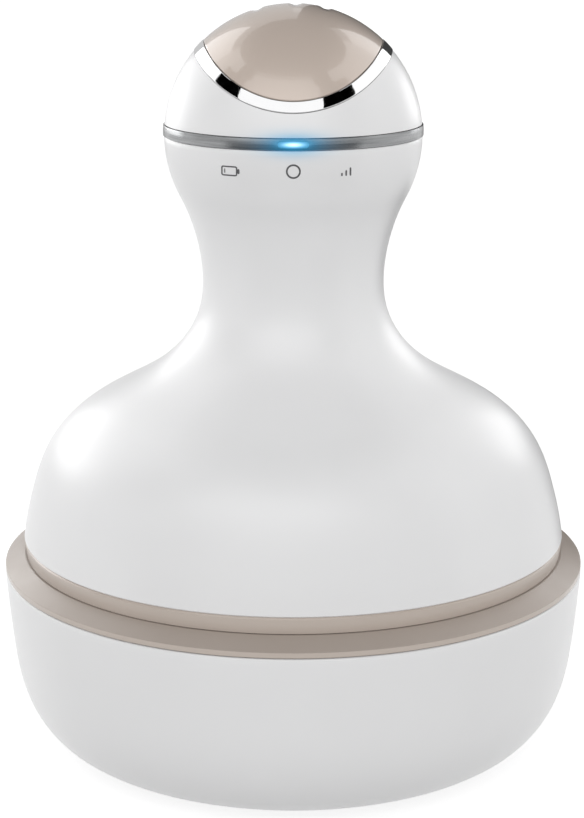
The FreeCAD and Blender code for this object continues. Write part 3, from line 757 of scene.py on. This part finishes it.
def cap():
    """Push button with a rolled edge and three shallow grooves behind its crest."""
    turns, rows, inner_rows = 320, 90, 20
    edge_r, roll_steps = 0.25, 5
    gap = 0.06
    lip, thick = 1.2, 1.6           # width of the rim's underside, and depth of the inside
    rim_drop, wall_drop = 0.4, 0.55     # of the rim's underside and of the wall under the rolled edge
    groove_places, groove_half, groove_depth = (-6.6, 0.4, 5.8), 1.4, 0.34
    fade_start, fade_run = -4.5, 4.0    # from here back the grooves deepen, over this length
    bm = bmesh.new()

    def lowered(point):
        """Point dropped into the grooves."""
        x, y = point.x / MM, point.y / MM
        fade = min(max((y - fade_start) / fade_run, 0.0), 1.0)
        fade *= fade * (3.0 - 2.0 * fade)
        near = min(abs(x - groove_x) for groove_x in groove_places)
        if near < groove_half:
            wave = 0.5 + 0.5 * math.cos(math.pi * near / groove_half)
            point.z -= groove_depth * MM * wave * fade
        return point

    columns = []
    for k in range(turns):
        azimuth = 2.0 * math.pi * k / turns
        edge = cut_latitude(azimuth, CAP_CUT) + gap / BALL
        column = [on_ball(azimuth, edge + lip / BALL, -thick), on_ball(azimuth, edge, -thick),
                  on_ball(azimuth, edge, -edge_r)]
        column[1].z -= rim_drop * MM
        column[2].z -= wall_drop * MM
        for i in range(roll_steps + 1):
            a = math.pi / 2.0 * i / roll_steps
            column.append(on_ball(azimuth, edge + edge_r * (1.0 - math.cos(a)) / BALL,
                                  -edge_r * (1.0 - math.sin(a))))
        start = edge + edge_r / BALL
        for i in range(1, rows):
            column.append(lowered(on_ball(azimuth, start + (math.pi / 2.0 - start) * i / rows)))
        columns.append([bm.verts.new(p) for p in column])
    top = bm.verts.new(lowered(Vector((0.0, 0.0, BALL_Z + BALL_R))))
    count = len(columns[0])
    for k in range(turns):
        here, following = columns[k], columns[(k + 1) % turns]
        for i in range(count - 1):
            bm.faces.new((here[i], following[i], following[i + 1], here[i + 1]))
        bm.faces.new((here[-1], following[-1], top))
    under = bm.verts.new((0.0, 0.0, BALL_Z + BALL_R - thick * MM))
    inner = []
    for k in range(turns):
        azimuth = 2.0 * math.pi * k / turns
        start = cut_latitude(azimuth, CAP_CUT) + (gap + lip) / BALL
        column = [columns[k][0]]
        for i in range(1, inner_rows):
            latitude = start + (math.pi / 2.0 - start) * i / inner_rows
            column.append(bm.verts.new(on_ball(azimuth, latitude, -thick)))
        inner.append(column)
    for k in range(turns):
        here, following = inner[k], inner[(k + 1) % turns]
        for i in range(inner_rows - 1):
            bm.faces.new((here[i], here[i + 1], following[i + 1], following[i]))
        bm.faces.new((here[-1], under, following[-1]))
    place(from_bmesh("cap", bm, 50.0), "button", "cap_champagne", "button_cap")


def boot():
    """Rubber bellows under the button, carried by the handset."""
    low, high = low_z("button_boot") / MM, high_z("button_boot") / MM
    folds, root, crest, thick = 3, 5.15, 6.25, 0.55
    foot_h, foot_r = 0.8, 6.8
    pitch = (high - low - 2.0 * foot_h) / folds
    steps = folds * 16
    outside, inside = [], []
    for i in range(steps + 1):
        z = low + foot_h + pitch * folds * i / steps
        wave = 0.5 - 0.5 * math.cos(2.0 * math.pi * folds * i / steps)
        r = root + (crest - root) * wave
        outside.append((r, z))
        inside.append((r - thick, z))
    foot = [(root - thick, low), (foot_r, low), (foot_r, low + foot_h)]
    head = [(crest, high - foot_h), (crest, high), (root - thick, high)]
    piece = lathe("boot", metres(foot + outside + head + inside[::-1]), 96)
    place(piece, "handset", "rubber_grey", "button_boot")
    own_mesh(piece)


# ---- printed marks -------------------------------------------------------------------------------
MARK_Z = 112.25         # height of the ring's middle
PRINT_LIFT = 0.03       # height of the ink over the shell
PRINT_FOOT = 0.05       # depth of its foot in the shell


def print_mark(name, outlines):
    """Thin printed shapes on the front of the ball, each an inner and an outer outline."""
    bm = bmesh.new()

    def on_front(x, z, lift):
        """Point over the front of the ball, level with MARK_Z at z = 0."""
        r = BALL + lift
        drop = z + MARK_Z - BALL_Z / MM
        return Vector((x, -math.sqrt(r * r - x * x - drop * drop), z + MARK_Z)) * MM

    for inner, outer in outlines:
        loops = []
        for side, lift in ((inner, -PRINT_FOOT), (inner, PRINT_LIFT), (outer, PRINT_LIFT),
                           (outer, -PRINT_FOOT)):
            loops.append([bm.verts.new(on_front(x, z, lift)) for x, z in side])
        for here, following in zip(loops, loops[1:] + loops[:1]):
            bridge(bm, here, following)
    place(from_bmesh(name, bm, 30.0), "handset", "strip_grey", finish="print_grey")


def loop_line(half_x, half_z, corner, line, centre=(0.0, 0.0), steps=8):
    """Inner and outer outlines of a rounded rectangle drawn with a line."""
    spans = 8               # parts of each straight side, so that it follows the ball
    least_r = 0.01
    pair = []
    for extra in (-line / 2.0, line / 2.0):
        r = corner + extra
        corners = []
        for sx, sz, start in ((1, 1, 0.0), (-1, 1, 90.0), (-1, -1, 180.0), (1, -1, 270.0)):
            middle = (centre[0] + sx * (half_x - corner), centre[1] + sz * (half_z - corner))
            corners.append(arc(middle, max(r, least_r), start, start + 90.0, steps))
        points = []
        for here, following in zip(corners, corners[1:] + corners[:1]):
            points += here
            (x, z), (next_x, next_z) = here[-1], following[0]
            points += [(x + (next_x - x) * k / spans, z + (next_z - z) * k / spans)
                       for k in range(1, spans)]
        pair.append(points)
    return tuple(pair)


def bar(x, z, half_x, half_z):
    """Filled bar, drawn as a line that all but meets itself in the middle."""
    slit = 0.02
    line = min(half_x, half_z)
    return loop_line(half_x - line / 2.0, half_z - line / 2.0, line / 2.0, line - slit, (x, z), 4)


def moved(pair, x, z):
    """A pair of outlines, moved on the front of the ball."""
    return tuple([(px + x, pz + z) for px, pz in side] for side in pair)


def marks():
    """Generic printed signs: a cell, a ring and three rising bars."""
    drop = -0.28            # the outer signs stand a little lower than the ring
    cell = [loop_line(1.3, 0.78, 0.25, 0.24), bar(1.62, 0.0, 0.2, 0.45), bar(-0.8, 0.0, 0.1, 0.4)]
    print_mark("mark_cell", [moved(pair, -11.2, drop) for pair in cell])
    print_mark("mark_ring", [loop_line(1.14, 1.14, 1.14, 0.3, steps=16)])
    rising = [bar(-0.75 + 0.75 * k, -0.45 + 0.22 * k, 0.15, 0.3 + 0.22 * k) for k in range(3)]
    print_mark("mark_bars", [moved(pair, 9.2, drop) for pair in rising])


# ---- massage heads -------------------------------------------------------------------------------
def finger(x, y, tip, root_r, tip_r, top):
    """Tapered finger with a ball end and two soft rings."""
    ball = arc((0.0, tip + tip_r), tip_r, -90.0, 0.0, 8)[1:]
    ring_lift, ring_width = 0.16, 0.05
    side = []
    steps = 14
    for i in range(1, steps + 1):
        t = i / steps
        z = tip + tip_r + (top - tip - tip_r) * t
        ring = sum(ring_lift * math.exp(-((t - at) / ring_width) ** 2) for at in (0.22, 0.42))
        side.append((tip_r + (root_r - tip_r) * t ** 1.3 + ring, z))
    piece = lathe("finger", metres([(0.0, tip)] + ball + side + [(0.0, top)]), 32)
    piece.data.transform(Matrix.Translation((x * MM, y * MM, 0.0)))
    return piece


def pad_mesh():
    """Silicone pad with seven fingers, blended into one skin."""
    low, high = 22.5, 33.2
    dish = rounded([(0.0, low), (15.8, low, 2.6), (15.8, high, 0.5), (13.5, high, 0.3), (13.5, 25.6, 0.3),
                    (0.0, 25.6)], 0.3)
    pad = lathe("pad", dish, 96)
    root_r, tip_r, circle_r = 3.3, 2.0, 10.6
    fingers = [finger(0.0, 0.0, 9.0, root_r, tip_r, low + 1.5)]
    for k in range(6):
        a = math.radians(60.0 * k)
        x, y = circle_r * math.cos(a), circle_r * math.sin(a)
        fingers.append(finger(x, y, 7.5, root_r, tip_r, low + 1.5))
    bpy.ops.object.select_all(action="DESELECT")
    for piece in fingers + [pad]:
        piece.select_set(True)
    bpy.context.view_layer.objects.active = pad
    bpy.ops.object.join()
    remesh = pad.modifiers.new("skin", "REMESH")
    remesh.mode = "VOXEL"
    remesh.voxel_size = 0.4 * MM
    smooth = pad.modifiers.new("smooth", "SMOOTH")
    smooth.factor = 0.5
    smooth.iterations = 6
    apply_modifiers(pad, 80.0)
    return pad


def hub_mesh():
    """Hub that carries a pad: a dish with a sleeve for the shaft."""
    outline = rounded([(2.05, 27.0, 0.1), (2.05, 34.2, 0.2), (4.6, 34.2, 0.4), (4.6, 27.5, 0.4),
                       (11.8, 27.5, 0.4), (11.8, 32.8, 0.3), (13.4, 32.8, 0.3), (13.4, 25.7, 0.2),
                       (0.0, 25.7), (0.0, 27.0)], 0.2)
    return lathe("hub", outline, 96)


def heads():
    """Pads and hubs of the four heads, each on the axis of its gear."""
    pad = pad_mesh()
    hub = hub_mesh()
    for number in range(1, 5):
        low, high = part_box("head_gear_%d" % number)
        middle = (low + high) / 2.0
        for source, name, slot in ((pad, "head_pad", "silicone_taupe"), (hub, "head_hub", "plastic_pale")):
            piece = bpy.data.objects.new("%s_skin_%d" % (name, number), source.data)
            bpy.context.scene.collection.objects.link(piece)
            piece.location = (middle.x, middle.y, 0.0)
            place(piece, "head_%d" % number, slot, "%s_%d" % (name, number))
    bpy.data.objects.remove(pad)
    bpy.data.objects.remove(hub)


# ---- frame nodes ---------------------------------------------------------------------------------
def finish_nodes():
    """Gives each frame node the material of its slot."""
    for part in frame["record"]["subparts"]:
        node = frame["nodes"][part["node"]]
        node.data.materials.clear()
        node.data.materials.append(MATERIALS[part["material_slot"]])


# ---- floor, lights and camera --------------------------------------------------------------------
def floor():
    """Plain pale floor."""
    bm = bmesh.new()
    bmesh.ops.create_grid(bm, x_segments=8, y_segments=8, size=6.0)
    piece = from_bmesh("floor", bm)
    made = material("floor", (0.52, 0.52, 0.52), (0.51, 0.51, 0.51), 0.6, 0.05, tone_scale=3.0,
                    grain_scale=400.0, Emission_Color=(1.0, 1.0, 1.0, 1.0), Emission_Strength=0.66)
    piece.data.materials.append(made)
    piece.visible_diffuse = False
    piece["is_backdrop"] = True


def soft_box(name, place_at, target, size, power):
    """Area light, hidden from reflections, where the cards take its place."""
    light = bpy.data.lights.new(name, "AREA")
    light.shape = "RECTANGLE"
    light.size, light.size_y = size
    light.energy = power
    box = bpy.data.objects.new(name, light)
    box.location = place_at
    box.rotation_euler = (Vector(target) - Vector(place_at)).to_track_quat("-Z", "Y").to_euler()
    box.visible_glossy = False
    bpy.context.scene.collection.objects.link(box)


def reflector(name, azimuths, elevations, level, distance=0.34, height=BALL_Z):
    """Curved card round the axis that only reflections see; azimuth 0 is the front, in degrees."""
    bm = bmesh.new()
    steps = 16
    rows = []
    for j in range(steps + 1):
        up = math.radians(elevations[0] + (elevations[1] - elevations[0]) * j / steps)
        row = []
        for i in range(steps + 1):
            a = math.radians(azimuths[0] + (azimuths[1] - azimuths[0]) * i / steps)
            flat = distance * math.cos(up)
            row.append(bm.verts.new((flat * math.sin(a), -flat * math.cos(a),
                                     height + distance * math.sin(up))))
        rows.append(row)
    for low, high in zip(rows, rows[1:]):
        for i in range(steps):
            bm.faces.new((low[i], low[i + 1], high[i + 1], high[i]))
    card = from_bmesh(name, bm)
    glow = bpy.data.materials.new(name)
    glow.use_nodes = True
    shader = glow.node_tree.nodes["Principled BSDF"]
    shader.inputs["Base Color"].default_value = (0.0, 0.0, 0.0, 1.0)
    shader.inputs["Specular IOR Level"].default_value = 0.0
    shader.inputs["Roughness"].default_value = 1.0
    shader.inputs["Emission Color"].default_value = (1.0, 1.0, 1.0, 1.0)
    shader.inputs["Emission Strength"].default_value = level
    card.data.materials.append(glow)
    card.visible_camera = False
    card.visible_diffuse = False
    card.visible_shadow = False
    card.visible_transmission = False
    card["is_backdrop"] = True


def surroundings():
    """Even room, brighter behind and dimmer overhead and below; the camera sees it plain white."""
    world = bpy.data.worlds.new("studio")
    bpy.context.scene.world = world
    world.use_nodes = True
    tree = world.node_tree
    direction = tree.nodes.new("ShaderNodeTexCoord")
    split = tree.nodes.new("ShaderNodeSeparateXYZ")
    tree.links.new(direction.outputs["Generated"], split.inputs["Vector"])

    def ramp(axis, values):
        """Smooth step along an axis, given as its two ends and then the values there."""
        node = tree.nodes.new("ShaderNodeMapRange")
        node.interpolation_type = "SMOOTHSTEP"
        for socket, value in zip(("From Min", "From Max", "To Min", "To Max"), values):
            node.inputs[socket].default_value = value
        tree.links.new(split.outputs[axis], node.inputs["Value"])
        return node.outputs["Result"]

    level = ramp("Y", (0.5, 0.93, 0.82, 1.2))
    for values in ((-0.8, -0.1, 0.45, 1.0), (0.2, 0.95, 1.0, 0.57)):
        level = calculate(tree, "MULTIPLY", level, ramp("Z", values))
    seen = tree.nodes.new("ShaderNodeMix")
    tree.links.new(tree.nodes.new("ShaderNodeLightPath").outputs["Is Camera Ray"], seen.inputs["Factor"])
    tree.links.new(level, seen.inputs["A"])
    seen.inputs["B"].default_value = 1.1
    background = tree.nodes["Background"]
    background.inputs["Color"].default_value = (1.0, 1.0, 1.0, 1.0)
    tree.links.new(seen.outputs["Result"], background.inputs["Strength"])


def studio():
    """Soft lights, and the bright and dark cards that the glossy pieces reflect."""
    surroundings()
    target = (0.0, 0.0, 0.07)
    soft_box("left_light", (-0.75, 0.25, 0.3), target, (0.5, 0.6), 0.85)
    soft_box("right_light", (0.75, 0.25, 0.3), target, (0.5, 0.6), 0.55)
    soft_box("front_light", (0.0, -0.65, 0.5), target, (0.8, 0.5), 1.95)
    # name, azimuths, elevations and brightness, and where they differ, distance and height
    for name, azimuths, elevations, level, *where in (
            ("side_box_left", (-112.0, -93.0), (-12.0, 47.0), 1.2),
            ("upper_box_left", (-112.0, -76.0), (47.0, 56.0), 1.2),
            ("far_box_left", (-150.0, -112.0), (18.0, 50.0), 1.8),
            ("bright_box_left", (-150.0, -112.0), (-2.0, 18.0), 3.9),
            ("side_box_right", (66.0, 125.0), (-12.0, 47.0), 1.1),
            ("upper_box_right", (48.0, 125.0), (47.0, 56.0), 1.1),
            ("far_box_right", (125.0, 150.0), (16.0, 50.0), 1.5),
            ("bright_box_right", (125.0, 150.0), (-1.0, 16.0), 3.3),
            ("wall_left", (-180.0, -150.0), (-12.0, 56.0), 0.6),
            ("wall_right", (150.0, 180.0), (-12.0, 32.0), 0.5),
            ("front_card", (-57.0, 29.0), (5.0, 47.0), 1.05),
            ("upper_front", (-52.0, 25.0), (47.0, 53.0), 1.05),
            ("left_card", (-92.0, -57.0), (14.0, 47.0), 0.0),
            ("left_slit", (-76.0, -52.0), (47.0, 56.0), 0.0),
            ("right_card", (29.0, 66.0), (14.0, 47.0), 0.0),
            ("right_slit", (25.0, 48.0), (47.0, 56.0), 0.0),
            ("top_card", (0.0, 360.0), (56.0, 90.0), 0.05),
            ("back_card", (140.0, 176.0), (1.0, 75.0), 0.05, 0.12),
            ("low_card", (125.0, 155.0), (-16.0, 17.0), 0.0, 0.12, 0.038),
            ("front_low_card", (-55.0, 55.0), (-38.0, 3.0), 0.25, 0.15)):
        reflector(name, azimuths, elevations, level, *where)
    bpy.context.scene.view_settings.view_transform = "Standard"


def camera():
    """Camera in front of the massager, looking slightly down on it."""
    down = 14.44
    data = bpy.data.cameras.new("camera")
    data.lens = 92.3
    data.sensor_width = 36.0
    data.clip_start = 0.01
    view = bpy.data.objects.new("camera", data)
    view.location = (-0.24 * MM, -385.3 * MM, 163.0 * MM)
    view.rotation_euler = (math.radians(90.0 - down), 0.0, 0.0)
    bpy.context.scene.collection.objects.link(view)
    bpy.context.scene.camera = view


def corners(box):
    """A box's lowest and highest corners as plain lists."""
    return [list(corner) for corner in box]


finish_nodes()
cup()
port(case_shell())
band()
light_strip()
ball_top()
trim()
cap()
boot()
marks()
heads()
floor()
studio()
camera()

{"cad": corners(cad_box), "visual": corners(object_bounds())}
